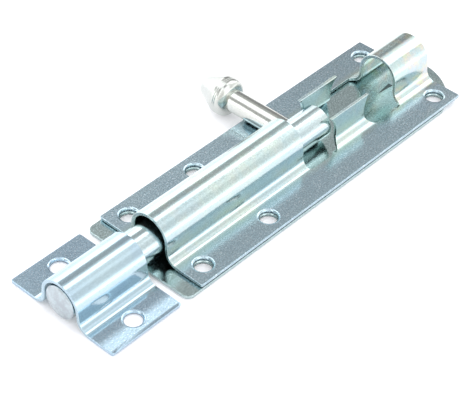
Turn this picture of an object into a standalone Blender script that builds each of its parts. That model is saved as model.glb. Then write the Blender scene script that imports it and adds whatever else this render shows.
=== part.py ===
"""Barrel bolt for a door or gate, pressed from zinc-plated steel sheet.

X runs along the bolt, from the keep (-X) to the rear hoop (+X). The knob lies towards +Y.
Z = 0 is the face that the plates are screwed to, and X = 0 is the middle of the barrel plate.
The pressed pieces are made as on a press: a flat blank is pierced, then folded over its section.
A place on a blank is given by its X and by its girth, the distance along the sheet from the
crown of the arch, which is positive towards +Y.
"""
import math

import bmesh
import bpy
from mathutils import Matrix, Vector

MM = 0.001

# Clearance between pieces that touch on the real bolt
GAP = 0.3 * MM

# Plates
SHEET = 1.5 * MM
PLATE_LENGTH = 150 * MM
PLATE_WIDTH = 52 * MM
BACK_OVERHANG_NEAR = 6.8 * MM
BACK_OVERHANG_FAR = 8.5 * MM
BACK_CORNER_RADIUS = 3 * MM
BACK_TONGUE_RADIUS = 27 * MM

# Screw holes
HOLE_RADIUS = 3.4 * MM
HOLE_RIM = 0.5 * MM
HOLE_SIDE = 18.9 * MM
HOLE_STATIONS = (-66.9 * MM, -32.1 * MM, 67.4 * MM)

# Section of the barrel plate: a fillet at the foot, a straight wall and an arch
FOOT_SIDE = 12.8 * MM
FOOT_RADIUS = 3.5 * MM
BARREL_RADIUS = 9.1 * MM
BARREL_RISE = 7.5 * MM
TAB_RADIUS = 60 * MM

# Opening pierced in the barrel plate: square at the barrel and the hoop, round at the tabs
BARREL_END = -1.7 * MM
HOOP_START = 53.7 * MM
NOTCH_SIDE = 13.1 * MM
NOTCH_CORNER = 2 * MM
PUNCH_RADIUS = 9.6 * MM
PUNCH_FRONT_X = 8.1 * MM
PUNCH_REAR_X = 43.9 * MM
PUNCH_GIRTH = 16.2 * MM
TAB_TOP_GIRTH = 9.3 * MM

# Bolt rod
ROD_RADIUS = 6.9 * MM
ROD_HEIGHT = 8.65 * MM
ROD_NOSE_X = -120.2 * MM
ROD_REAR_X = 17.7 * MM
NOSE_CROWN = 1.4 * MM
NOSE_EDGE = 1.2 * MM
REAR_CHAMFER = 0.8 * MM

# Knob, which lies flat towards +Y with the bolt shot
KNOB_X = 4.3 * MM
PIN_RADIUS = 4.6 * MM
HEAD_START = 32.5 * MM
HEAD_COLLAR = 6.5 * MM
HEAD_RADIUS = 7.2 * MM
HEAD_TIP = 48.5 * MM
HEAD_TIP_RADIUS = 4.4 * MM
HEAD_EDGE = 0.8 * MM
SPIGOT_RADIUS = 2.4 * MM
SPIGOT_LENGTH = 8 * MM

# Keep
KEEP_NEAR_X = -118.2 * MM
KEEP_LENGTH = 33.2 * MM
KEEP_WIDTH = 52 * MM
KEEP_FOOT_SIDE = 13.8 * MM
KEEP_FOOT_RADIUS = 4.2 * MM
KEEP_RADIUS = 9.3 * MM
KEEP_RISE = 6.5 * MM
KEEP_HOLE_SIDE = 18.9 * MM

ARCH_STEPS = 14
FOOT_STEPS = 6
HOLE_SIDES = 32
ROUND_SIDES = 40
OVERSHOOT = 5 * MM

BACK_TOP = SHEET
FLANGE_TOP = BACK_TOP + GAP + SHEET


def clear_scene():
    for item in list(bpy.data.objects):
        bpy.data.objects.remove(item, do_unlink=True)


def new_collection(name):
    group = bpy.data.collections.new(name)
    bpy.context.scene.collection.children.link(group)
    return group


def zinc(name, colour, roughness):
    material = bpy.data.materials.new(name)
    material.use_nodes = True
    shader = material.node_tree.nodes["Principled BSDF"]
    shader.inputs["Base Color"].default_value = (*colour, 1)
    shader.inputs["Roughness"].default_value = roughness
    shader.inputs["Metallic"].default_value = 1
    return material


def add_object(group, name, bm, material=None):
    """Put a finished bmesh in a collection; without a material it is a cutter."""
    mesh = bpy.data.meshes.new(name)
    bm.to_mesh(mesh)
    bm.free()
    item = bpy.data.objects.new(name, mesh)
    group.objects.link(item)
    if material:
        mesh.materials.append(material)
        mesh.shade_smooth()
        mesh.set_sharp_from_angle(angle=math.radians(35))
    else:
        item.hide_render = True
        item.display_type = "WIRE"
    return item


def cut(target, cutter):
    modifier = target.modifiers.new("cut " + cutter.name, "BOOLEAN")
    modifier.operation = "DIFFERENCE"
    modifier.object = cutter


def arc(centre, radius, start, end, steps):
    """Points on an arc, from one angle to another in radians."""
    turn = [start + (end - start) * i / steps for i in range(steps + 1)]
    return [(centre[0] + radius * math.cos(a), centre[1] + radius * math.sin(a)) for a in turn]


def slab(outline, low, high):
    """A flat solid with this outline in X and Y."""
    bm = bmesh.new()
    face = bm.faces.new([bm.verts.new((x, y, low)) for x, y in outline])
    grown = bmesh.ops.extrude_face_region(bm, geom=[face])["geom"]
    lid = [v for v in grown if isinstance(v, bmesh.types.BMVert)]
    bmesh.ops.translate(bm, vec=(0, 0, high - low), verts=lid)
    bmesh.ops.recalc_face_normals(bm, faces=bm.faces)
    return bm


def drill(group, name, x, y, top):
    """A drill whose upper end widens to the hole's eased rim."""
    bm = bmesh.new()
    low = -SHEET - OVERSHOOT
    shank = top - HOLE_RIM - low
    bmesh.ops.create_cone(bm, cap_ends=True, segments=HOLE_SIDES, radius1=HOLE_RADIUS,
                          radius2=HOLE_RADIUS, depth=shank,
                          matrix=Matrix.Translation((x, y, low + shank / 2)))
    lid = max(bm.faces, key=lambda f: f.calc_center_median().z)
    for rise, spread in ((HOLE_RIM, 1 + HOLE_RIM / HOLE_RADIUS), (OVERSHOOT, 1)):
        grown = bmesh.ops.extrude_face_region(bm, geom=[lid])["geom"]
        bm.faces.remove(lid)
        lid = next(f for f in grown if isinstance(f, bmesh.types.BMFace))
        bmesh.ops.translate(bm, vec=(0, 0, rise), verts=lid.verts)
        bmesh.ops.scale(bm, vec=(spread, spread, 1), verts=lid.verts,
                        space=Matrix.Translation((-x, -y, 0)))
    bmesh.ops.recalc_face_normals(bm, faces=bm.faces)
    return add_object(group, name, bm)


class Section:
    """Outer and inner face of a folded sheet, as matching points at set girths."""

    def __init__(self, side, top, foot_side, foot_radius, arch_radius, arch_rise, open_radius=None):
        arch = (0, top + arch_rise)
        foot = (foot_side, top + foot_radius)
        lean = math.acos((arch_radius + foot_radius) / math.dist(arch, foot))
        wall = math.atan2(foot[1] - arch[1], foot[0] - arch[0]) + lean
        bow = arc(arch, arch_radius, math.pi / 2, wall, ARCH_STEPS)
        base = arc(foot, foot_radius, wall + math.pi, 1.5 * math.pi, FOOT_STEPS)
        self.girth = [0]
        half = bow + base + [(side, top)]
        for a, b in zip(half, half[1:]):
            self.girth.append(self.girth[-1] + math.dist(a, b))
        if open_radius:
            half[:ARCH_STEPS] = self.opened(bow, wall, open_radius)
        inner = self.inward(half)
        self.outer = [(-y, z) for y, z in reversed(half[1:])] + half
        self.inner = [(-y, z) for y, z in reversed(inner[1:])] + inner
        self.girth = [-g for g in reversed(self.girth[1:])] + self.girth

    def opened(self, bow, wall, radius):
        """The arch's points when the sheet is left almost straight above the wall."""
        edge = bow[-1]
        centre = (edge[0] - radius * math.cos(wall), edge[1] - radius * math.sin(wall))
        reach = [self.girth[ARCH_STEPS] - g for g in self.girth[:ARCH_STEPS]]
        return [arc(centre, radius, wall, wall + r / radius, 1)[1] for r in reach]

    def inward(self, points):
        """The same points moved one sheet thickness inwards, mitred at each fold."""
        moved = []
        crown = [(-points[1][0], points[1][1])] + points + [(points[-1][0] + 1, points[-1][1])]
        for before, here, after in zip(crown, crown[1:], crown[2:]):
            normals = []
            for a, b in ((before, here), (here, after)):
                run = math.dist(a, b)
                normals.append(Vector(((a[1] - b[1]) / run, (b[0] - a[0]) / run)))
            mitre = (normals[0] + normals[1]).normalized()
            moved.append(tuple(Vector(here) - mitre * (SHEET / mitre.dot(normals[0]))))
        moved[0] = (0, moved[0][1])
        return moved

    def place(self, girth, depth):
        """Y and Z of the point at this girth, from 0 on the outer face to 1 on the inner."""
        girth = min(max(girth, self.girth[0]), self.girth[-1])
        i = max(k for k in range(len(self.girth) - 1) if self.girth[k] <= girth)
        share = (girth - self.girth[i]) / (self.girth[i + 1] - self.girth[i])
        outer = Vector(self.outer[i]).lerp(Vector(self.outer[i + 1]), share)
        inner = Vector(self.inner[i]).lerp(Vector(self.inner[i + 1]), share)
        return outer.lerp(inner, depth)


def pressed(group, name, start, end, section, tabs, cutters, material):
    """Pierce a flat blank, then fold it; tabs gives a second section and its X range."""
    reach = section.girth[-1]
    bm = slab([(start, -reach), (end, -reach), (end, reach), (start, reach)], -SHEET, 0)
    for girth in section.girth[1:-1]:
        everything = bm.verts[:] + bm.edges[:] + bm.faces[:]
        bmesh.ops.bisect_plane(bm, geom=everything, plane_co=(0, girth, 0), plane_no=(0, 1, 0))
    blank = add_object(group, name + " blank", bm)
    for cutter in cutters:
        cut(blank, cutter)
    evaluated = blank.evaluated_get(bpy.context.evaluated_depsgraph_get())
    bm = bmesh.new()
    bm.from_mesh(evaluated.to_mesh())
    bpy.data.objects.remove(blank)
    bmesh.ops.remove_doubles(bm, verts=bm.verts, dist=0.000005)
    for vert in bm.verts:
        x, girth, depth = vert.co.x, vert.co.y, -vert.co.z / SHEET
        chosen = tabs[0] if tabs and tabs[1] < x < tabs[2] else section
        vert.co = (x, *chosen.place(girth, depth))
    bmesh.ops.recalc_face_normals(bm, faces=bm.faces)
    return add_object(group, name, bm, material)


def turned(group, name, profile, material, axis, origin):
    """Revolve (radius, place along the axis) points, with the object's origin on the axis."""
    bm = bmesh.new()
    points = [bm.verts.new((r, 0, t)) for r, t in reversed(profile)]
    for first, second in zip(points, points[1:]):
        bm.edges.new((first, second))
    item = add_object(group, name, bm, material)
    screw = item.modifiers.new("turn", "SCREW")
    screw.steps = ROUND_SIDES
    screw.render_steps = ROUND_SIDES
    screw.use_merge_vertices = True
    screw.merge_threshold = 0.00001
    item.location = origin
    item.rotation_euler = Vector((0, 0, 1)).rotation_difference(Vector(axis)).to_euler()
    return item


def plate_opening(cutters, section):
    """The one opening that parts the barrel, the two tabs and the hoop."""
    side = section.girth[-1] - PLATE_WIDTH / 2 + NOTCH_SIDE
    inset = NOTCH_CORNER
    tab = math.asin((TAB_TOP_GIRTH - PUNCH_GIRTH) / PUNCH_RADIUS)
    flank = math.asin((side - PUNCH_GIRTH) / PUNCH_RADIUS)
    half = [(BARREL_END, side - inset)]
    half += arc((BARREL_END + inset, side - inset), inset, math.pi, math.pi / 2, 4)[1:]
    half += arc((PUNCH_FRONT_X, PUNCH_GIRTH), PUNCH_RADIUS, flank, tab, 12)
    half += arc((PUNCH_REAR_X, PUNCH_GIRTH), PUNCH_RADIUS, math.pi - tab, math.pi - flank, 12)
    half += arc((HOOP_START - inset, side - inset), inset, math.pi / 2, 0, 4)
    outline = half + [(x, -y) for x, y in reversed(half)]
    return add_object(cutters, "plate opening", slab(outline, -SHEET - OVERSHOOT, OVERSHOOT))


def build_back_plate(parts, cutters):
    """The flat plate under the barrel plate, with a round tongue behind the rear hoop."""
    near = -PLATE_LENGTH / 2 - BACK_OVERHANG_NEAR
    side = PLATE_WIDTH / 2
    corner = (near + BACK_CORNER_RADIUS, side - BACK_CORNER_RADIUS)
    tongue = (PLATE_LENGTH / 2 + BACK_OVERHANG_FAR - BACK_TONGUE_RADIUS, 0)
    sweep = math.asin(side / BACK_TONGUE_RADIUS)
    rounded = arc(corner, BACK_CORNER_RADIUS, math.pi, math.pi / 2, 5)
    outline = rounded + arc(tongue, BACK_TONGUE_RADIUS, sweep, -sweep, 24)
    outline += [(x, -y) for x, y in reversed(rounded)]
    colour = zinc("back plate zinc", (0.62, 0.66, 0.68), 0.25)
    plate = add_object(parts, "back_plate", slab(outline, 0, BACK_TOP), colour)
    for x in HOLE_STATIONS:
        for side in (-HOLE_SIDE, HOLE_SIDE):
            cut(plate, drill(cutters, f"back drill {x / MM:+.0f} {side / MM:+.0f}", x, side, BACK_TOP))


def build_barrel_plate(parts, cutters):
    """Flanges, front barrel, a pair of upright tabs and the rear hoop, from one sheet."""
    shape = (PLATE_WIDTH / 2, FLANGE_TOP, FOOT_SIDE, FOOT_RADIUS, BARREL_RADIUS, BARREL_RISE)
    section = Section(*shape)
    tabs = (Section(*shape, open_radius=TAB_RADIUS), PUNCH_FRONT_X, PUNCH_REAR_X)
    spread = section.girth[-1] - PLATE_WIDTH / 2
    tools = [plate_opening(cutters, section)]
    for x in HOLE_STATIONS:
        for side in (-HOLE_SIDE - spread, HOLE_SIDE + spread):
            tools.append(drill(cutters, f"barrel drill {x / MM:+.0f} {side / MM:+.0f}", x, side, 0))
    pressed(parts, "barrel_plate", -PLATE_LENGTH / 2, PLATE_LENGTH / 2, section, tabs, tools,
            zinc("barrel zinc", (0.66, 0.7, 0.7), 0.22))


def build_keep(parts, cutters):
    """The short strap that the nose shoots into, with one screw hole in each flange."""
    section = Section(KEEP_WIDTH / 2, SHEET, KEEP_FOOT_SIDE, KEEP_FOOT_RADIUS, KEEP_RADIUS, KEEP_RISE)
    spread = section.girth[-1] - KEEP_WIDTH / 2
    middle = KEEP_NEAR_X + KEEP_LENGTH / 2
    tools = []
    for side in (-KEEP_HOLE_SIDE - spread, KEEP_HOLE_SIDE + spread):
        tools.append(drill(cutters, f"keep drill {side / MM:+.0f}", middle, side, 0))
    pressed(parts, "keep", KEEP_NEAR_X, KEEP_NEAR_X + KEEP_LENGTH, section, None, tools,
            zinc("keep zinc", (0.68, 0.72, 0.76), 0.22))


def build_rod(parts):
    """The round bolt: crowned nose, chamfered rear end."""
    length = ROD_REAR_X - ROD_NOSE_X
    rim = ROD_RADIUS - NOSE_EDGE
    crown = rim ** 2 / (2 * NOSE_CROWN) + NOSE_CROWN / 2
    half = math.asin(rim / crown)
    nose = arc((0, crown), crown, -math.pi / 2, -math.pi / 2 + half, 5)
    edge = arc((rim, NOSE_CROWN + NOSE_EDGE), NOSE_EDGE, -math.pi / 2 + half, 0, 4)
    rear = [(ROD_RADIUS, length - REAR_CHAMFER), (ROD_RADIUS - REAR_CHAMFER, length), (0, length)]
    origin = (ROD_NOSE_X, 0, ROD_HEIGHT)
    colour = zinc("rod zinc", (0.7, 0.72, 0.74), 0.2)
    turned(parts, "bolt_rod", nose + edge[1:] + rear, colour, (1, 0, 0), origin)


def build_knob(parts, cutters):
    """The cross pin, whose inner end fits over the rod, and the head on its outer end."""
    axle = Vector((KNOB_X, 0, ROD_HEIGHT))
    end = HEAD_START - GAP
    pin = [(0, 0), (PIN_RADIUS, 0), (PIN_RADIUS, end), (SPIGOT_RADIUS, end),
           (SPIGOT_RADIUS, end + SPIGOT_LENGTH), (0, end + SPIGOT_LENGTH)]
    pin = turned(parts, "knob_pin", pin, zinc("pin zinc", (0.74, 0.75, 0.72), 0.22), (0, 1, 0), axle)
    bm = bmesh.new()
    saddle = ROD_RADIUS + GAP
    lie = Matrix.Translation(axle) @ Matrix.Rotation(math.pi / 2, 4, "Y")
    bmesh.ops.create_cone(bm, cap_ends=True, segments=2 * ROUND_SIDES, radius1=saddle,
                          radius2=saddle, depth=4 * PIN_RADIUS, matrix=lie)
    cut(pin, add_object(cutters, "rod clearance", bm))
    bore = SPIGOT_RADIUS + GAP
    shoulder = HEAD_START + HEAD_COLLAR
    nip = (HEAD_TIP_RADIUS * 0.1, HEAD_TIP - HEAD_TIP_RADIUS)
    head = [(0, HEAD_START + SPIGOT_LENGTH), (bore, HEAD_START + SPIGOT_LENGTH), (bore, HEAD_START),
            (HEAD_RADIUS - HEAD_EDGE, HEAD_START), (HEAD_RADIUS, HEAD_START + HEAD_EDGE),
            (HEAD_RADIUS, shoulder)]
    head += arc(nip, HEAD_TIP_RADIUS, math.radians(25), math.pi / 2, 5)[:-1] + [(0, HEAD_TIP)]
    turned(parts, "knob_head", head, zinc("head zinc", (0.78, 0.79, 0.76), 0.22), (0, 1, 0), axle)


def build():
    clear_scene()
    parts = new_collection("barrel_bolt")
    cutters = new_collection("cutters")
    build_back_plate(parts, cutters)
    build_barrel_plate(parts, cutters)
    build_keep(parts, cutters)
    build_rod(parts)
    build_knob(parts, cutters)


build()
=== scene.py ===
# %% [markdown]
# # A pressed-steel barrel bolt
# A barrel bolt is a round rod that slides in an arched housing and shoots into a keep. Every
# part here is steel with bright zinc plate, so the picture is almost only reflections. That
# needs three things: smooth folds, rounded cut edges, and a studio worth reflecting.
# The packed model gives the places and sizes. Its faceted solids could be shown as they are,
# but facets break up a reflection, so this script makes finer surfaces in the same places.

import math

import bmesh
import bpy
from mathutils import Matrix, Vector


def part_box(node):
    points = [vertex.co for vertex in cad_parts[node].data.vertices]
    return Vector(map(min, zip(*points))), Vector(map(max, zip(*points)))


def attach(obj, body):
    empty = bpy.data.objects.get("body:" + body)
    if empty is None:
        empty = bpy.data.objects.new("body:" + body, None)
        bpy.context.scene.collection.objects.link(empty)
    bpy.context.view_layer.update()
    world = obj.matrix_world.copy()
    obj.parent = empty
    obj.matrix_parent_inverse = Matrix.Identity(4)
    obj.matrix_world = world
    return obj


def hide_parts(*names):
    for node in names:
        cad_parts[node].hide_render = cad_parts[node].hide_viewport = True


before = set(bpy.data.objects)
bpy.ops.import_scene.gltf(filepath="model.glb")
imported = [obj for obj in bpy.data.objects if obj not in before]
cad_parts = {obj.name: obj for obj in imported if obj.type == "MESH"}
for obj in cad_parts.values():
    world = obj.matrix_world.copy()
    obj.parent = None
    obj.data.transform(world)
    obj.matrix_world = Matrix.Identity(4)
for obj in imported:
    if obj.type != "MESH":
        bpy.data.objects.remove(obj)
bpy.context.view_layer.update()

# %% [markdown]
# ## Sizes
# The boxes of the packed nodes give the main sizes, which keeps the pieces where the packed
# model has them. The radii of the press tools can't be read from a box, so they are named
# here, in metres. A fold is one set of such radii: the barrel plate has one and the keep another.

# %% Read the sizes
MM = 0.001
plate_low, plate_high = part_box("barrel_plate")
back_low, back_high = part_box("back_plate")
keep_low, keep_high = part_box("keep")
rod_low, rod_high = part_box("bolt_rod")
pin_low, pin_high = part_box("knob_pin")
head_low, head_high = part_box("knob_head")

SHEET = back_high.z - back_low.z
FLANGE_TOP = plate_low.z + SHEET
ROD_RADIUS = (rod_high.y - rod_low.y) / 2
ROD_AXIS = (rod_high.z + rod_low.z) / 2
PIN_RADIUS = (pin_high.x - pin_low.x) / 2
HEAD_RADIUS = (head_high.x - head_low.x) / 2
KNOB_X = (pin_high.x + pin_low.x) / 2

BARREL_FOLD = {
    "Arch Radius": 9.1 * MM,
    "Arch Rise": 7.5 * MM,
    "Foot Side": 13.4 * MM,
    "Foot Radius": 4.2 * MM,
    "Flange Top": FLANGE_TOP,
    "Flange Curl": 0.0,
    "Tab Start": 8.1 * MM,
    "Tab End": 43.9 * MM,
    "Tab Radius": 60 * MM,
}
KEEP_FOLD = {
    "Arch Radius": 9.3 * MM,
    "Arch Rise": 6.5 * MM,
    "Foot Side": 13.8 * MM,
    "Foot Radius": 4.2 * MM,
    "Flange Top": keep_low.z + SHEET,
    "Flange Curl": 30.0,
    "Tab Start": 1.0,
    "Tab End": 1.0,
    "Tab Radius": 1.0,
}
print(f"sheet {SHEET / MM:.2f} mm, rod radius {ROD_RADIUS / MM:.2f} mm")

# %% [markdown]
# ## Sums in node trees
# Shader and geometry trees add, multiply and compare numbers with the same Math node. The
# nodes could be made and linked one by one, but a long sum then takes a page. A small class
# lets it be written as a Python sum, which is far easier to read and change. Every other kind
# of node comes from one function.

# %% Wires and trees


class Wire:
    """An output socket that takes part in Python sums."""

    def __init__(self, tree, socket):
        self.tree = tree
        self.socket = socket

    def math(self, operation, *values):
        node = self.tree.nodes.new("ShaderNodeMath")
        node.operation = operation
        for socket, value in zip(node.inputs, values):
            feed(self.tree, socket, value)
        return Wire(self.tree, node.outputs[0])

    def __add__(self, other):
        return self.math("ADD", self, other)

    def __radd__(self, other):
        return self.math("ADD", other, self)

    def __sub__(self, other):
        return self.math("SUBTRACT", self, other)

    def __rsub__(self, other):
        return self.math("SUBTRACT", other, self)

    def __mul__(self, other):
        return self.math("MULTIPLY", self, other)

    def __rmul__(self, other):
        return self.math("MULTIPLY", other, self)

    def __truediv__(self, other):
        return self.math("DIVIDE", self, other)

    def __rtruediv__(self, other):
        return self.math("DIVIDE", other, self)

    def __gt__(self, other):
        return self.math("GREATER_THAN", self, other)

    def __lt__(self, other):
        return self.math("LESS_THAN", self, other)

    def at_least(self, other):
        return self.math("MAXIMUM", self, other)

    def at_most(self, other):
        return self.math("MINIMUM", self, other)

    def function(self, operation):
        return self.math(operation, self)


def feed(tree, socket, value):
    """Give a socket a link, if the value is one, or a constant."""
    if isinstance(value, Wire):
        tree.links.new(value.socket, socket)
    else:
        socket.default_value = value


def add_node(tree, kind, settings=None, sockets=None, output=0):
    """Any node but Math: its settings first, then its sockets; a ramp takes its stops."""
    node = tree.nodes.new(kind)
    for name, value in (settings or {}).items():
        if name == "stops":
            ramp = node.color_ramp.elements
            while len(ramp) < len(value):
                ramp.new(0.5)
            for stop, (place, colour) in zip(ramp, value):
                stop.position = place
                stop.color = (*colour, 1) if len(colour) == 3 else colour
        else:
            setattr(node, name, value)
    for name, value in (sockets or {}).items():
        feed(tree, node.inputs[name], value)
    return Wire(tree, node.outputs[output])


print("sums a wire can do:", sum(callable(value) for value in vars(Wire).values()) - 1)

# %% [markdown]
# ## Blanks
# A press starts with a flat blank: the outline and every hole are punched before the fold. A
# folded sheet could also be cut with booleans, but they leave ragged edges on a curved face.
# So the blank is made the press's way. Each loop is an outline in X and in girth, which is the
# distance along the sheet from the crown, and sharp corners of a loop are eased first.

# %% Outlines
CORNER_STEPS = 5
SUPPORT = 0.6 * MM


def arc(centre, radius, start, end, steps):
    turn = [start + (end - start) * i / steps for i in range(steps + 1)]
    return [(centre[0] + radius * math.cos(a), centre[1] + radius * math.sin(a)) for a in turn]


def circle(x, y, radius, steps=48):
    """A hole's loop, which runs clockwise so that the sheet is on its left."""
    return arc((x, y), radius, 2 * math.pi, 2 * math.pi / steps, steps - 1)


def eased(points, radius):
    """Replace each corner by a small arc, with a point of support on each long side."""
    loop = []
    count = len(points)
    for i, here in enumerate(points):
        here = Vector(here)
        back = Vector(points[i - 1]) - here
        on = Vector(points[(i + 1) % count]) - here
        turn = math.pi - back.angle(on)
        if turn < math.radians(25):
            loop.append(tuple(here))
            continue
        reach = min(radius * math.tan(turn / 2), back.length / 3, on.length / 3)
        first = here + back.normalized() * reach
        last = here + on.normalized() * reach
        if back.length > 4 * SUPPORT + reach:
            loop.append(tuple(first + back.normalized() * SUPPORT))
        for k in range(CORNER_STEPS + 1):
            t = k / CORNER_STEPS
            loop.append(tuple(first.lerp(here, t).lerp(here.lerp(last, t), t)))
        if on.length > 4 * SUPPORT + reach:
            loop.append(tuple(last + on.normalized() * SUPPORT))
    return loop


print("a hole's loop has", len(circle(0, 0, 1)), "points")

# %% [markdown]
# ## Rounded cut edges
# The edge of a punched sheet is slightly rounded, and that thin round rim is what shines along
# every edge of the real bolt. A Bevel modifier could round it, but after the fold it would also
# find edges on the curves. Here each loop is laid down as a stack of rings, from the top face
# over the rim to the underside. Two vertex layers go with it: "lean" is the rim's exact normal,
# and "cut" is 1 where the surface was cut and not rolled.

# %% Blank from loops
EDGE_ROUND = 0.2 * MM
UNDER_ROUND = 0.5 * MM
RIM_ANGLES = [math.radians(a) for a in (90, 60, 30, 0)]
MITRE_LIMIT = 0.5


def loop_sides(points):
    """For each point of a loop, the way out of the sheet and how far a mitre stretches."""
    sides = []
    for i, here in enumerate(points):
        before = (Vector(here) - Vector(points[i - 1])).normalized()
        after = (Vector(points[(i + 1) % len(points)]) - Vector(here)).normalized()
        out = (Vector((before.y, -before.x)) + Vector((after.y, -after.x))).normalized()
        sides.append((out, 1 / max(out.dot(Vector((before.y, -before.x))), MITRE_LIMIT)))
    return sides


def blank(name, loops, thickness, slices=()):
    """A flat sheet with rounded cut edges and its top at Z = 0. Slices are girths to cut at."""
    bm = bmesh.new()
    lean = bm.verts.layers.float_vector.new("lean")
    cut = bm.verts.layers.float.new("cut")
    caps = ([], [])
    for points, round_off in loops:
        rings = []
        sides = loop_sides(points)
        for facing in (1, -1):
            for angle in RIM_ANGLES[::facing]:
                size = round_off if facing == 1 else UNDER_ROUND
                inset = size * (1 - math.cos(angle))
                drop = size * (1 - math.sin(angle))
                depth = drop if facing == 1 else thickness - drop
                ring = []
                for point, (out, stretch) in zip(points, sides):
                    x, y = Vector(point) - out * inset * stretch
                    vert = bm.verts.new((x, y, -depth))
                    level = math.cos(angle)
                    vert[lean] = (out.x * level, out.y * level, facing * math.sin(angle))
                    vert[cut] = level
                    ring.append(vert)
                rings.append(ring)
        for upper, lower in zip(rings, rings[1:]):
            for i in range(len(points)):
                bm.faces.new((upper[i - 1], lower[i - 1], lower[i], upper[i]))
        for cap, ring in zip(caps, (rings[0], rings[-1])):
            cap += [bm.edges.get((ring[i - 1], ring[i])) for i in range(len(ring))]
    for cap in caps:
        bmesh.ops.triangle_fill(bm, edges=cap, use_beauty=True)
    bmesh.ops.recalc_face_normals(bm, faces=bm.faces)
    for girth in slices:
        everything = bm.verts[:] + bm.edges[:] + bm.faces[:]
        bmesh.ops.bisect_plane(bm, geom=everything, plane_co=(0, girth, 0), plane_no=(0, 1, 0))
    mesh = bpy.data.meshes.new(name)
    bm.to_mesh(mesh)
    bm.free()
    item = bpy.data.objects.new(name, mesh)
    bpy.context.scene.collection.objects.link(item)
    return item


print(f"rims: {EDGE_ROUND / MM:.1f} mm above, {UNDER_ROUND / MM:.1f} mm below")

# %% [markdown]
# ## The fold
# Folding keeps every length along the sheet. So a point of the blank is placed by its girth:
# first round the arch, then down the straight wall, round the foot and out along the flange.
# Bend modifiers could do one radius each, but not four in a row on one sheet. A Geometry Nodes
# tree does it for every point at once, with the tool radii as its inputs, and turns the rim's
# normals with the sheet. The barrel, the tabs, the hoop and the keep all come from this tree.
# The tabs are the sheet's walls, left standing almost straight. Flange Curl turns the normals
# of one flange outwards by so many radians for each metre of its width.

# %% The fold tree
MOST_CURL = 0.21  # radians, about 12 degrees


def fold_tree():
    tree = bpy.data.node_groups.new("fold a sheet", "GeometryNodeTree")
    tree.interface.new_socket("Geometry", in_out="INPUT", socket_type="NodeSocketGeometry")
    for name in BARREL_FOLD:
        tree.interface.new_socket(name, in_out="INPUT", socket_type="NodeSocketFloat")
    tree.interface.new_socket("Material", in_out="INPUT", socket_type="NodeSocketMaterial")
    tree.interface.new_socket("Geometry", in_out="OUTPUT", socket_type="NodeSocketGeometry")
    given = tree.nodes.new("NodeGroupInput")
    size = {socket.name: Wire(tree, socket) for socket in given.outputs if socket.name}

    spot = add_node(tree, "GeometryNodeInputPosition")
    spot = add_node(tree, "ShaderNodeSeparateXYZ", sockets={0: spot}).socket.node.outputs
    x, signed, top = (Wire(tree, socket) for socket in spot)
    side = signed.function("SIGN")
    girth = signed.function("ABSOLUTE")

    radius, foot = size["Arch Radius"], size["Foot Radius"]
    down = foot - size["Arch Rise"]
    span = (size["Foot Side"] * size["Foot Side"] + down * down).function("SQRT")
    lean = ((radius + foot) / span).function("ARCCOSINE")
    wall = down.math("ARCTAN2", down, size["Foot Side"]) + lean
    arch_run = radius * (math.pi / 2 - wall)
    wall_run = (span * span - (radius + foot) * (radius + foot)).function("SQRT")
    foot_run = foot * (math.pi / 2 - wall)

    tabs = (x > size["Tab Start"]) * (x < size["Tab End"])
    bend = radius + tabs * (size["Tab Radius"] - radius)
    arch_turn = wall + (arch_run - girth).at_least(0.0) / bend
    on_wall = (girth - arch_run).at_least(0.0).at_most(wall_run)
    foot_turn = wall + (girth - arch_run - wall_run).at_least(0.0).at_most(foot_run) / foot
    out = (girth - arch_run - wall_run - foot_run).at_least(0.0)
    curl = 0.0 - (size["Flange Curl"] * out).at_most(MOST_CURL) * (signed < 0.0)

    cosine, sine = wall.function("COSINE"), wall.function("SINE")
    y = radius * cosine + bend * (arch_turn.function("COSINE") - cosine) + on_wall * sine
    y = y - foot * (foot_turn.function("COSINE") - cosine) + out
    z = size["Flange Top"] + size["Arch Rise"] + radius * sine - on_wall * cosine
    z = z + bend * (arch_turn.function("SINE") - sine) - foot * (foot_turn.function("SINE") - sine)

    facing = arch_turn + foot_turn - wall + curl
    across, up = facing.function("COSINE"), facing.function("SINE")
    normal = add_node(tree, "GeometryNodeInputNamedAttribute",
                      {"data_type": "FLOAT_VECTOR"}, {"Name": "lean"})
    normal = add_node(tree, "ShaderNodeSeparateXYZ", sockets={0: normal}).socket.node.outputs
    lean_x, lean_y, lean_z = (Wire(tree, socket) for socket in normal)
    turned = add_node(tree, "ShaderNodeCombineXYZ", sockets={
        "X": lean_x, "Y": lean_y * up + side * lean_z * across,
        "Z": lean_z * up - side * lean_y * across})
    placed = add_node(tree, "ShaderNodeCombineXYZ", sockets={
        "X": x, "Y": side * (y + top * across), "Z": z + top * up})

    sheet = add_node(tree, "GeometryNodeStoreNamedAttribute",
                     {"data_type": "FLOAT_VECTOR", "domain": "POINT"},
                     {"Geometry": size["Geometry"], "Name": "lean", "Value": turned})
    sheet = add_node(tree, "GeometryNodeSetPosition",
                     sockets={"Geometry": sheet, "Position": placed})
    sheet = add_node(tree, "GeometryNodeRealizeInstances", sockets={"Geometry": sheet})
    sheet = add_node(tree, "GeometryNodeSetMaterial",
                     sockets={"Geometry": sheet, "Material": size["Material"]})
    result = tree.nodes.new("NodeGroupOutput")
    feed(tree, result.inputs["Geometry"], sheet)
    return tree


FOLD = fold_tree()
print("fold tree:", len(FOLD.nodes), "nodes")

# %% [markdown]
# ## From blank to sheet
# The tree runs as a modifier on the blank, and its result is kept as a plain mesh. A fold only
# comes out round if the blank has enough points across it, so the blank is cut at many girths
# first. Subdividing it would add points everywhere, on the long flat flanges too. The flanges
# then get their normals from the "lean" layer: Blender's own smooth shading would blend the
# flats with the rims and bend every reflection near an edge.

# %% Fold a blank, then finish its surface


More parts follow.
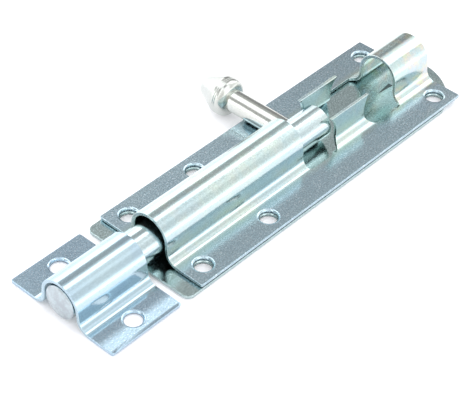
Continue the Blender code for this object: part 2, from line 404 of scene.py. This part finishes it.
def smooth(item):
    """Shade by the rim's own normals, so that reflections run true on the flats."""
    mesh = item.data
    mesh.shade_smooth()
    leans = [Vector(value.vector).normalized() for value in mesh.attributes["lean"].data]
    mesh.normals_split_custom_set_from_vertices(leans)
    mesh.attributes.remove(mesh.attributes["lean"])


def fold(item, sizes, material):
    """Run the fold tree on a blank and keep the result as a plain mesh."""
    modifier = item.modifiers.new("fold", "NODES")
    modifier.node_group = FOLD
    for socket in FOLD.interface.items_tree:
        if socket.in_out == "INPUT" and socket.name in sizes:
            modifier[socket.identifier] = float(sizes[socket.name])
        elif socket.name == "Material":
            modifier[socket.identifier] = material
    item.update_tag()
    evaluated = item.evaluated_get(bpy.context.evaluated_depsgraph_get())
    mesh = bpy.data.meshes.new_from_object(evaluated)
    item.modifiers.clear()
    item.data = mesh
    smooth(item)
    print(item.name, len(mesh.polygons), "faces")


def girth_of(sizes):
    """How far the sheet runs from the crown to the outer end of the foot, and to its wall."""
    radius, foot = sizes["Arch Radius"], sizes["Foot Radius"]
    down = foot - sizes["Arch Rise"]
    span = math.hypot(sizes["Foot Side"], down)
    wall = math.atan2(down, sizes["Foot Side"]) + math.acos((radius + foot) / span)
    turn = math.pi / 2 - wall
    return radius * turn + math.sqrt(span ** 2 - (radius + foot) ** 2) + foot * turn


def fold_slices(sizes, step=0.45 * MM):
    """Where to cut a blank so that its folds come out round."""
    reach = girth_of(sizes)
    count = math.ceil(reach / step)
    half = [reach * i / count for i in range(1, count + 1)]
    return [0.0, *half, *(-g for g in half)]


print("cuts across the barrel's fold:", len(fold_slices(BARREL_FOLD)))

# %% [markdown]
# ## Zinc plate
# Bright zinc is a clear, slightly blue-green mirror on rolled steel. Close up it has a fine
# grain of tiny crystals, long faint rolling marks, soft clouds where the passivation is thicker,
# and in places a thin film that turns straw yellow, green and pink. A painted texture could
# show all that, but it would need an unfolded map of each piece and would blur close up. Noise
# in the piece's own coordinates has neither problem. A metallic Principled shader carries it:
# the clouds and the film go to its colour, the grain to its colour and roughness, and the
# marks to a bump. Cut edges and rims are a little darker and duller than rolled faces.

# %% Colour, noise and steps


def blend_colour(tree, amount, low, high, mode="MIX"):
    return add_node(tree, "ShaderNodeMix", {"data_type": "RGBA", "blend_type": mode},
                    {0: amount, 6: low, 7: high}, 2)


def noise(tree, place, scale, detail=2.0, roughness=0.5):
    return add_node(tree, "ShaderNodeTexNoise", None,
                    {"Vector": place, "Scale": scale, "Detail": detail, "Roughness": roughness})


def stretched(tree, place, scale):
    return add_node(tree, "ShaderNodeMapping", None, {"Vector": place, "Scale": scale})


def step_up(value, start, end):
    """From 0 at start to 1 at end, straight between them."""
    return ((value - start) * (1 / (end - start))).at_least(0.0).at_most(1.0)


FILM_STOPS = [(0.0, (0.56, 0.66, 0.54)), (0.35, (0.68, 0.70, 0.48)), (0.5, (0.70, 0.62, 0.55)),
              (0.7, (0.50, 0.60, 0.70)), (1.0, (0.50, 0.68, 0.60))]
print("film colours:", len(FILM_STOPS))

# %% Zinc material
CLOUD_SCALE = 55.0  # noise scales are in waves per metre
FILM_SCALE = 130.0
HUE_SCALE = 210.0
CRYSTAL_SCALE = 1500.0
SPECK_SCALE = 2600.0
WAVE_SCALE = 45.0
ROLLED_SCALE = (30.0, 900.0, 900.0)
NICK_SCALE = (120.0, 600.0, 600.0)
SPECK_COLOUR = (0.95, 0.97, 1.0, 1)
CUT_DARKER = 0.12
CUT_DULLER = 0.12
BUMP_DEPTH = 0.6 * MM

def zinc(name, colour, cloud, roughness=0.16, grain=0.10, flat=None, side=13 * MM, film=0.0,
         marks=0.5):
    """Bright zinc; flat is its colour where |Y| is beyond side, film the strength of its film."""
    material = bpy.data.materials.new(name)
    material.use_nodes = True
    tree = material.node_tree
    shader = tree.nodes["Principled BSDF"]
    place = add_node(tree, "ShaderNodeTexCoord", output=3)
    split = add_node(tree, "ShaderNodeSeparateXYZ", sockets={0: place}).socket.node.outputs
    x, y = Wire(tree, split[0]), Wire(tree, split[1])

    clouds = step_up(noise(tree, place, CLOUD_SCALE, 3.0), 0.42, 0.62)
    base = blend_colour(tree, clouds, (*colour, 1), (*cloud, 1))
    if film:
        patches = noise(tree, place, FILM_SCALE, 4.0, 0.6)
        hue = add_node(tree, "ShaderNodeValToRGB", {"stops": FILM_STOPS},
                       {"Fac": noise(tree, place, HUE_SCALE, 2.0)})
        rear = step_up(x, 46 * MM, 60 * MM) * 0.75 + 0.25
        base = blend_colour(tree, rear * step_up(patches, 0.45, 0.6) * film, base, hue)

    crystals = noise(tree, place, CRYSTAL_SCALE, 2.0, 0.7)
    specks = noise(tree, place, SPECK_SCALE, 1.0)
    depth = grain
    if flat:
        outside = step_up(y.function("ABSOLUTE"), side, side + 3 * MM)
        base = blend_colour(tree, outside * 0.85, base, (*flat, 1))
        bright = step_up(specks, 0.62, 0.70) * outside * 0.5
        base = blend_colour(tree, bright, base, SPECK_COLOUR)
        depth = grain * 0.4 + outside * (grain * 0.6)
    shade = 1.0 + (crystals - 0.5) * depth * 4.0 + (specks - 0.5) * depth * 2.0
    cut = add_node(tree, "ShaderNodeAttribute", {"attribute_name": "cut"}, output=2)
    shade = shade * (1.0 - cut * CUT_DARKER)
    shade = add_node(tree, "ShaderNodeCombineXYZ", sockets={"X": shade, "Y": shade, "Z": shade})
    base = blend_colour(tree, 1.0, base, shade, "MULTIPLY")

    rolled = noise(tree, stretched(tree, place, ROLLED_SCALE), 1.0, 3.0, 0.6)
    rough = roughness + (crystals - 0.5) * (grain * 1.2) + (rolled - 0.5) * 0.08
    rough = rough + cut * CUT_DULLER
    shader.inputs["Metallic"].default_value = 1.0

    waves = noise(tree, place, WAVE_SCALE, 2.0)
    nicks = noise(tree, stretched(tree, place, NICK_SCALE), 1.0, 2.0, 0.7)
    nicks = step_up(nicks, 0.66, 0.72)
    height = waves * 0.5 + rolled * (0.02 * marks) + crystals * depth * 0.4
    height = height + nicks * (0.03 * marks)
    bump = add_node(tree, "ShaderNodeBump", None,
                    {"Strength": 0.5, "Distance": BUMP_DEPTH, "Height": height})
    feed(tree, shader.inputs["Base Color"], base)
    feed(tree, shader.inputs["Roughness"], rough.at_least(0.03))
    feed(tree, shader.inputs["Normal"], bump)
    return material


print("zinc grain:", 1 / CRYSTAL_SCALE / MM, "mm")

# %% [markdown]
# ## The zincs and two places of painted shade
# The same plating differs a little on each piece: bluer on the keep, greener on the back plate,
# whiter on the pin and the head. Two places get painted shade. The end of the rod is scratched and
# duller, and is painted darker for the shaded floor that it reflects. A near-black wedge is
# painted on the back plate inside the hoop, where the hoop's shade falls. Either could be a decal
# on a piece of its own, but a rule on X and Y in the material is simpler and stays with the metal.

# %% Zincs and marks


def darken(material, amount, colour, roughness=None):
    """Lay a duller colour over a material where amount, a sum of X and Y, is 1. It paints shade on
    the rod's nose and in the hoop.
    """
    tree = material.node_tree
    shader = tree.nodes["Principled BSDF"]
    place = add_node(tree, "ShaderNodeTexCoord", output=3)
    split = add_node(tree, "ShaderNodeSeparateXYZ", sockets={0: place}).socket.node.outputs
    amount = amount(Wire(tree, split[0]), Wire(tree, split[1]), place)
    below = Wire(tree, shader.inputs["Base Color"].links[0].from_socket)
    feed(tree, shader.inputs["Base Color"], blend_colour(tree, amount, below, (*colour, 1)))
    if roughness:
        below = Wire(tree, shader.inputs["Roughness"].links[0].from_socket)
        feed(tree, shader.inputs["Roughness"], below + amount * (roughness - ROD_ROUGHNESS))


SHEET_ZINC = zinc("sheet zinc", (0.49, 0.62, 0.65), (0.54, 0.66, 0.63), grain=0.2,
                  flat=(0.44, 0.585, 0.67), film=0.8)
BACK_ZINC = zinc("back plate zinc", (0.46, 0.58, 0.58), (0.54, 0.63, 0.55), roughness=0.14,
                 grain=0.22, flat=(0.45, 0.57, 0.58), side=-9 * MM, film=0.5)
KEEP_ZINC = zinc("keep zinc", (0.46, 0.60, 0.69), (0.49, 0.63, 0.69), roughness=0.14, grain=0.12,
                 flat=(0.43, 0.58, 0.70))
ROD_ROUGHNESS = 0.16
ROD_ZINC = zinc("rod zinc", (0.53, 0.64, 0.67), (0.57, 0.67, 0.67), roughness=ROD_ROUGHNESS,
                marks=1.0)
PIN_ZINC = zinc("pin zinc", (0.56, 0.62, 0.60), (0.60, 0.62, 0.585), roughness=0.15, grain=0.08)
HEAD_ZINC = zinc("head zinc", (0.55, 0.58, 0.56), (0.58, 0.59, 0.55), roughness=0.23, grain=0.05)


def scratched_shaded_nose(x, y, place):
    """The front few millimetres of the rod: scratched and duller, and painted darker for the
    shaded floor it reflects.
    """
    scratches = step_up(noise(ROD_ZINC.node_tree, place, 420.0, 3.0, 0.7), 0.40, 0.60)
    return (x < rod_low.x + 2.2 * MM) * (1.0 - scratches * 0.45)


def hoop_shade_wedge(x, y, place):
    """Painted shade: a small near-black wedge on the back plate, inside the hoop."""
    along = (x - 58.7 * MM) * (1 / (4.3 * MM))
    half = (along * 0.5 + 0.5) * (1.1 * MM)
    return (along > -1.0) * (along < 1.0) * ((y + 0.4 * MM).function("ABSOLUTE") < half) * 0.85


# painted shade: the rod's nose is painted darker for the shaded floor it reflects; its scratches
# are real wear
darken(ROD_ZINC, scratched_shaded_nose, (0.40, 0.44, 0.47), 0.4)
# painted shade: a near-black wedge on the back plate, where the hoop's shade falls
darken(BACK_ZINC, hoop_shade_wedge, (0.05, 0.06, 0.06))
print("materials:", len(bpy.data.materials))

# %% [markdown]
# ## Barrel plate
# One sheet makes the flanges, the long barrel, the pair of tabs and the rear hoop. They could
# be modelled as four shapes and joined, but then their walls would have to be made to meet.
# The press punches a single opening between barrel and hoop: square at both ends and scooped
# by a round punch on each side of the tabs, which leaves the tabs with a waist. With that
# opening in the blank, the fold makes all four shapes at once.

# %% Barrel plate
HOLE_RADIUS = 3.4 * MM
HOLE_ROUND = 1.1 * MM
HOLE_SIDE = 18.9 * MM
HOLE_STATIONS = (-66.9 * MM, -32.1 * MM, 67.4 * MM)
BARREL_END = -1.7 * MM
HOOP_START = 53.7 * MM
NOTCH_SIDE = 13.1 * MM
NOTCH_CORNER = 2 * MM
PUNCH_RADIUS = 9.6 * MM
PUNCH_GIRTH = 16.2 * MM
TAB_TOP_GIRTH = 9.3 * MM


def plate_opening(spread):
    """The punched opening, counter-clockwise from the barrel's end; spread is the fold's extra."""
    side = spread + NOTCH_SIDE
    front, rear = BARREL_FOLD["Tab Start"], BARREL_FOLD["Tab End"]
    tab = math.asin((TAB_TOP_GIRTH - PUNCH_GIRTH) / PUNCH_RADIUS)
    flank = math.asin((side - PUNCH_GIRTH) / PUNCH_RADIUS)
    corner = (BARREL_END + NOTCH_CORNER, side - NOTCH_CORNER)
    half = arc(corner, NOTCH_CORNER, math.pi, math.pi / 2, 6)
    half += arc((front, PUNCH_GIRTH), PUNCH_RADIUS, flank, tab, 24)
    half += arc((rear, PUNCH_GIRTH), PUNCH_RADIUS, math.pi - tab, math.pi - flank, 24)
    corner = (HOOP_START - NOTCH_CORNER, side - NOTCH_CORNER)
    half += arc(corner, NOTCH_CORNER, math.pi / 2, 0, 6)
    return half + [(x, -y) for x, y in reversed(half)]


def rectangle(x0, x1, y0, y1):
    return [(x0, y0), (x1, y0), (x1, y1), (x0, y1)]


spread = girth_of(BARREL_FOLD) - BARREL_FOLD["Foot Side"]
reach = plate_high.y + spread
loops = [
    (eased(rectangle(plate_low.x, plate_high.x, -reach, reach), 0.8 * MM), EDGE_ROUND),
    (eased(plate_opening(spread), 0.5 * MM), EDGE_ROUND),
]
for station in HOLE_STATIONS:
    for girth in (-HOLE_SIDE - spread, HOLE_SIDE + spread):
        loops.append((circle(station, girth, HOLE_RADIUS), HOLE_ROUND))
housing = blank("housing_sheet", loops, SHEET, fold_slices(BARREL_FOLD))
fold(housing, BARREL_FOLD, SHEET_ZINC)
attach(housing, "housing")
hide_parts("barrel_plate")

# %% [markdown]
# ## Back plate
# The flat plate behind the barrel closes its open side, so that the rod runs on metal. It is a
# little longer: rounded corners at the keep end and a round tongue at the rear. It could be a
# cube with a bevel, but it has the same punched rims as the rest, so it is a blank too. It
# needs no fold, and is only dropped into place.

# %% Back plate
BACK_CORNER_RADIUS = 3 * MM
BACK_TONGUE_RADIUS = 27 * MM

corner = (back_low.x + BACK_CORNER_RADIUS, back_low.y + BACK_CORNER_RADIUS)
tongue = (back_high.x - BACK_TONGUE_RADIUS, 0)
sweep = math.asin(back_high.y / BACK_TONGUE_RADIUS)
half = arc(corner, BACK_CORNER_RADIUS, 1.5 * math.pi, math.pi, 8)
outline = arc(tongue, BACK_TONGUE_RADIUS, -sweep, sweep, 64)
outline += [(x, -y) for x, y in half] + half[::-1]
loops = [(eased(outline, 0.5 * MM), EDGE_ROUND)]
for station in HOLE_STATIONS:
    for side in (-HOLE_SIDE, HOLE_SIDE):
        loops.append((circle(station, side, HOLE_RADIUS), HOLE_ROUND))
back = blank("back_sheet", loops, SHEET)
back.data.transform(Matrix.Translation((0, 0, back_high.z)))
back.data.materials.append(BACK_ZINC)
smooth(back)
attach(back, "housing")
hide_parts("back_plate")
print("back plate", len(back.data.polygons), "faces")

# %% [markdown]
# ## Keep
# The keep is a short strap with the same fold and one screw hole in each flange. It could be a
# copy of a slice of the barrel, but its arch is wider and lower, so it is a blank of its own
# with its own radii. The outer part of one flange is rolled off by a few degrees, which is too
# little to see in its outline but enough to turn its reflection from the grey gap in the tent
# to the bright part.

# %% Keep
spread = girth_of(KEEP_FOLD) - KEEP_FOLD["Foot Side"]
reach = keep_high.y + spread
middle = (keep_low.x + keep_high.x) / 2
loops = [(eased(rectangle(keep_low.x, keep_high.x, -reach, reach), 0.8 * MM), EDGE_ROUND)]
for girth in (-HOLE_SIDE - spread, HOLE_SIDE + spread):
    loops.append((circle(middle, girth, HOLE_RADIUS), HOLE_ROUND))
CURL_STEP = 1.5 * MM
flange_slices = [s * (girth_of(KEEP_FOLD) + k * CURL_STEP) for s in (-1, 1) for k in range(1, 9)]
strap = blank("keep_strap", loops, SHEET, fold_slices(KEEP_FOLD) + flange_slices)
fold(strap, KEEP_FOLD, KEEP_ZINC)
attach(strap, "keep")
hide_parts("keep")

# %% [markdown]
# ## Rod, pin and head
# The rod, the knob's pin and its head are turned on a lathe. A cylinder with a bevel could do
# for the rod, but not for the head, so all three are a profile that a Screw modifier turns. A
# profile lists its radius and its place along the axis. Small arcs at the corners keep the
# highlights that a real turned edge has.

# %% Turned pieces
TURN_STEPS = 128


def turned(name, profile, material, axis, origin):
    bm = bmesh.new()
    points = [bm.verts.new((radius, 0, along)) for radius, along in reversed(profile)]
    for first, second in zip(points, points[1:]):
        bm.edges.new((first, second))
    mesh = bpy.data.meshes.new(name)
    bm.to_mesh(mesh)
    bm.free()
    item = bpy.data.objects.new(name, mesh)
    bpy.context.scene.collection.objects.link(item)
    screw = item.modifiers.new("turn", "SCREW")
    screw.steps = TURN_STEPS
    screw.render_steps = TURN_STEPS
    screw.use_merge_vertices = True
    screw.merge_threshold = 0.000001
    evaluated = item.evaluated_get(bpy.context.evaluated_depsgraph_get())
    mesh = bpy.data.meshes.new_from_object(evaluated)
    item.modifiers.clear()
    item.data = mesh
    way = Vector((0, 0, 1)).rotation_difference(Vector(axis)).to_matrix().to_4x4()
    mesh.transform(Matrix.Translation(origin) @ way)
    mesh.materials.append(material)
    mesh.shade_smooth()
    mesh.set_sharp_from_angle(angle=math.radians(32))
    print(name, len(mesh.polygons), "faces")
    return item


print("steps in a turn:", TURN_STEPS)

# %% [markdown]
# ## Rod
# The rod has a slightly crowned nose with a rounded edge, so that it finds the keep, and a plain
# chamfer at the rear. A real rod has a little play and its nose hangs down, so this one is laid
# in with a slight tilt.

# %% Rod
NOSE_CROWN = 1.4 * MM
NOSE_EDGE = 1.2 * MM
REAR_CHAMFER = 0.8 * MM
REST_TILT = 0.006

length = rod_high.x - rod_low.x
rim = ROD_RADIUS - NOSE_EDGE
crown = rim ** 2 / (2 * NOSE_CROWN) + NOSE_CROWN / 2
half = math.asin(rim / crown)
profile = arc((0, crown), crown, -math.pi / 2, -math.pi / 2 + half, 12)
profile += arc((rim, NOSE_CROWN + NOSE_EDGE), NOSE_EDGE, -math.pi / 2 + half, 0, 8)[1:]
profile += [(ROD_RADIUS, NOSE_CROWN + NOSE_EDGE + MM), (ROD_RADIUS, length - REAR_CHAMFER - MM)]
profile += [(ROD_RADIUS, length - REAR_CHAMFER), (ROD_RADIUS - REAR_CHAMFER, length), (0, length)]
droop = REST_TILT * length / 2
rod = turned("rod", profile, ROD_ZINC, (1, 0, REST_TILT), (rod_low.x, 0, ROD_AXIS - droop))
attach(rod, "bolt")
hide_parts("bolt_rod")

# %% [markdown]
# ## Pin and head
# The pin starts inside the rod, so that no gap shows where they join, and ends inside the head.
# The head has a collar with two fine grooves and a cone that ends in a small ball. A subdivided
# cube could give a soft lump like it, but a profile of arcs keeps the collar crisp.

# %% Pin
PIN_START = 5 * MM  # from the rod's axis
PIN_END = 0.5 * MM  # inside the head
AXLE = Vector((KNOB_X, 0, ROD_AXIS))
HEAD_BACK = head_low.y
profile = [(0, PIN_START), (PIN_RADIUS, PIN_START), (PIN_RADIUS, HEAD_BACK + PIN_END),
           (0, HEAD_BACK + PIN_END)]
pin = turned("pin", profile, PIN_ZINC, (0, 1, 0), AXLE)
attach(pin, "knob")
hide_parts("knob_pin")

# %% Head
COLLAR = 5.4 * MM
COLLAR_RADIUS = HEAD_RADIUS + 0.7 * MM
BACK_ROUND = 3.2 * MM
TIP_RADIUS = 4.4 * MM
GROOVE = 0.2 * MM
GROOVE_PLACES = (3.5 * MM, 4.3 * MM)
SHOULDER = 2 * MM

shoulder = HEAD_BACK + COLLAR
profile = [(0, HEAD_BACK)]
corner = (COLLAR_RADIUS - BACK_ROUND, HEAD_BACK + BACK_ROUND)
profile += arc(corner, BACK_ROUND, -math.pi / 2, 0, 10)
for groove in GROOVE_PLACES:
    base = HEAD_BACK + groove
    profile += [(COLLAR_RADIUS, base - GROOVE), (COLLAR_RADIUS - GROOVE, base),
                (COLLAR_RADIUS, base + GROOVE)]
nip = (0.1 * TIP_RADIUS, head_high.y - TIP_RADIUS)
end = arc(nip, TIP_RADIUS, math.radians(25), math.pi / 2, 14)
cone = math.atan2(COLLAR_RADIUS - end[0][0], end[0][1] - shoulder)
profile += arc((COLLAR_RADIUS - SHOULDER, shoulder), SHOULDER, 0, cone, 5)
profile += end[:-1] + [(0, head_high.y)]
head = turned("head", profile, HEAD_ZINC, (0, 1, 0), AXLE)
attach(head, "knob")
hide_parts("knob_head")

# %% [markdown]
# ## Studio
# A mirror needs something to mirror. The bolt lies on a white floor under a white tent, and the
# tent has long grey gaps in it, parallel to the bolt. The gaps draw the dark lines along the
# barrel. Area lights and cards could be set up round the bolt, but each would need its own
# place and would light the floor unevenly. A sky worked out from its direction does it in one
# go: the angle round the bolt's own axis goes through a colour ramp. One ramp serves the keep
# and most of the barrel, and the other the part of the tent towards the hoop. A darker opening
# overhead keeps the flat plates grey from straight above. The camera itself sees plain white.

# %% Sky
WHITE = 2.6
TENT = [  # degrees up from +Y, over the top, to -Y, and the brightness there
    (-90, 1.6), (-6, 1.3), (14, 1.7), (28, WHITE), (40, WHITE), (47, 0.58), (70, 0.55),
    (78, 1.15), (84, WHITE), (93, WHITE), (100, 1.12), (112, 1.1), (118, 1.3), (126, 1.3),
    (134, 1.0), (152, 1.0), (159, 1.2), (170, 2.0), (176, WHITE), (200, WHITE), (270, 1.6)]
FAR_TENT = [
    (-90, 1.5), (-30, 1.7), (-10, 1.4), (4, 0.6), (14, 0.36), (46, 0.40), (56, 0.52), (63, 1.3),
    (74, 1.5), (82, WHITE), (112, WHITE), (121, 1.05), (129, 1.3), (150, 1.4), (170, 2.0),
    (200, 2.0), (270, 1.5)]

world = bpy.data.worlds.new("light tent")
bpy.context.scene.world = world
world.use_nodes = True
tree = world.node_tree
shell = tree.nodes["Background"]
aim = add_node(tree, "ShaderNodeTexCoord")
aim = add_node(tree, "ShaderNodeSeparateXYZ", sockets={0: aim}).socket.node.outputs
along, across, up = (Wire(tree, socket) for socket in aim)
angle = across.math("ARCTAN2", 0.0 - across, up) * (180 / math.pi) + 90.0
place = (angle + 90.0) / 360.0


def ramp(stops):
    stops = [((degrees + 90) / 360, (level / WHITE,) * 3) for degrees, level in stops]
    return add_node(tree, "ShaderNodeValToRGB", {"stops": stops}, {"Fac": place})


tent = blend_colour(tree, step_up(along, 0.59, 0.64), ramp(TENT), ramp(FAR_TENT))
ends = step_up(along.function("ABSOLUTE"), 0.2, 0.42)
light = blend_colour(tree, ends, (0.85, 0.85, 0.86, 1), tent)
opening = 1.0 - step_up(along.function("ABSOLUTE"), 0.15, 0.3)
opening = opening * (1.0 - step_up(across.function("ABSOLUTE"), 0.2, 0.38)) * (up > 0.0)
light = blend_colour(tree, opening, light, (0.2, 0.2, 0.205, 1))
seen = add_node(tree, "ShaderNodeLightPath")
light = blend_colour(tree, seen, light, (1 / WHITE,) * 3 + (1,))
feed(tree, shell.inputs["Color"], light)
shell.inputs["Strength"].default_value = WHITE
print("sky ramps:", len(TENT), "and", len(FAR_TENT), "stops")

# %% [markdown]
# ## Floor
# The floor is a sheet of white paper, far larger than the view. A curved backdrop would also
# do, but the sky is already white behind it. A little emission lifts the paper to plain white
# and keeps only the soft shadows close to the bolt.

# %% Floor
FLOOR_SIZE = 3.0
FLOOR_GAP = 0.2 * MM
floor_mesh = bpy.data.meshes.new("floor")
bm = bmesh.new()
bmesh.ops.create_grid(bm, x_segments=1, y_segments=1, size=FLOOR_SIZE)
bm.to_mesh(floor_mesh)
bm.free()
floor = bpy.data.objects.new("floor", floor_mesh)
floor.location = (0, 0, -FLOOR_GAP)
bpy.context.scene.collection.objects.link(floor)
paper = bpy.data.materials.new("white paper")
paper.use_nodes = True
shader = paper.node_tree.nodes["Principled BSDF"]
shader.inputs["Base Color"].default_value = (0.87, 0.865, 0.89, 1)
shader.inputs["Roughness"].default_value = 0.7
shader.inputs["Emission Color"].default_value = (1, 0.99, 1, 1)
shader.inputs["Emission Strength"].default_value = 0.15
floor_mesh.materials.append(paper)
print("floor:", 2 * FLOOR_SIZE, "m wide")

# %% [markdown]
# ## Camera
# A long lens looks down on the bolt from the keep's end, so that the rod, the barrel, the tabs
# and the hoop all show. A Track To constraint could aim it, but it can't roll the camera, so
# the matrix is built from the direction and the roll.

# %% Camera
AIM = Vector((-34.7 * MM, -3.2 * MM, FLANGE_TOP))
AZIMUTH, ELEVATION, ROLL = (math.radians(a) for a in (-47.816, 41.787, 1.034))
DISTANCE = 594.4 * MM

back_way = Vector((math.sin(AZIMUTH) * math.cos(ELEVATION),
                   -math.cos(AZIMUTH) * math.cos(ELEVATION), math.sin(ELEVATION)))
right = Vector((math.cos(AZIMUTH), math.sin(AZIMUTH), 0))
above = back_way.cross(right)
turn = Matrix((right * math.cos(ROLL) + above * math.sin(ROLL),
               above * math.cos(ROLL) - right * math.sin(ROLL), back_way)).transposed()
lens = bpy.data.cameras.new("camera")
lens.lens = 123.9
lens.sensor_width = 36
camera = bpy.data.objects.new("camera", lens)
camera.matrix_world = Matrix.Translation(AIM + back_way * DISTANCE) @ turn.to_4x4()
bpy.context.scene.collection.objects.link(camera)
bpy.context.scene.camera = camera
bpy.context.scene.view_settings.view_transform = "Standard"
print(f"camera: {lens.lens} mm lens, {DISTANCE / MM:.0f} mm away")

# %% [markdown]
# ## Sizes
# The finer pieces must fill the same box as the packed model.
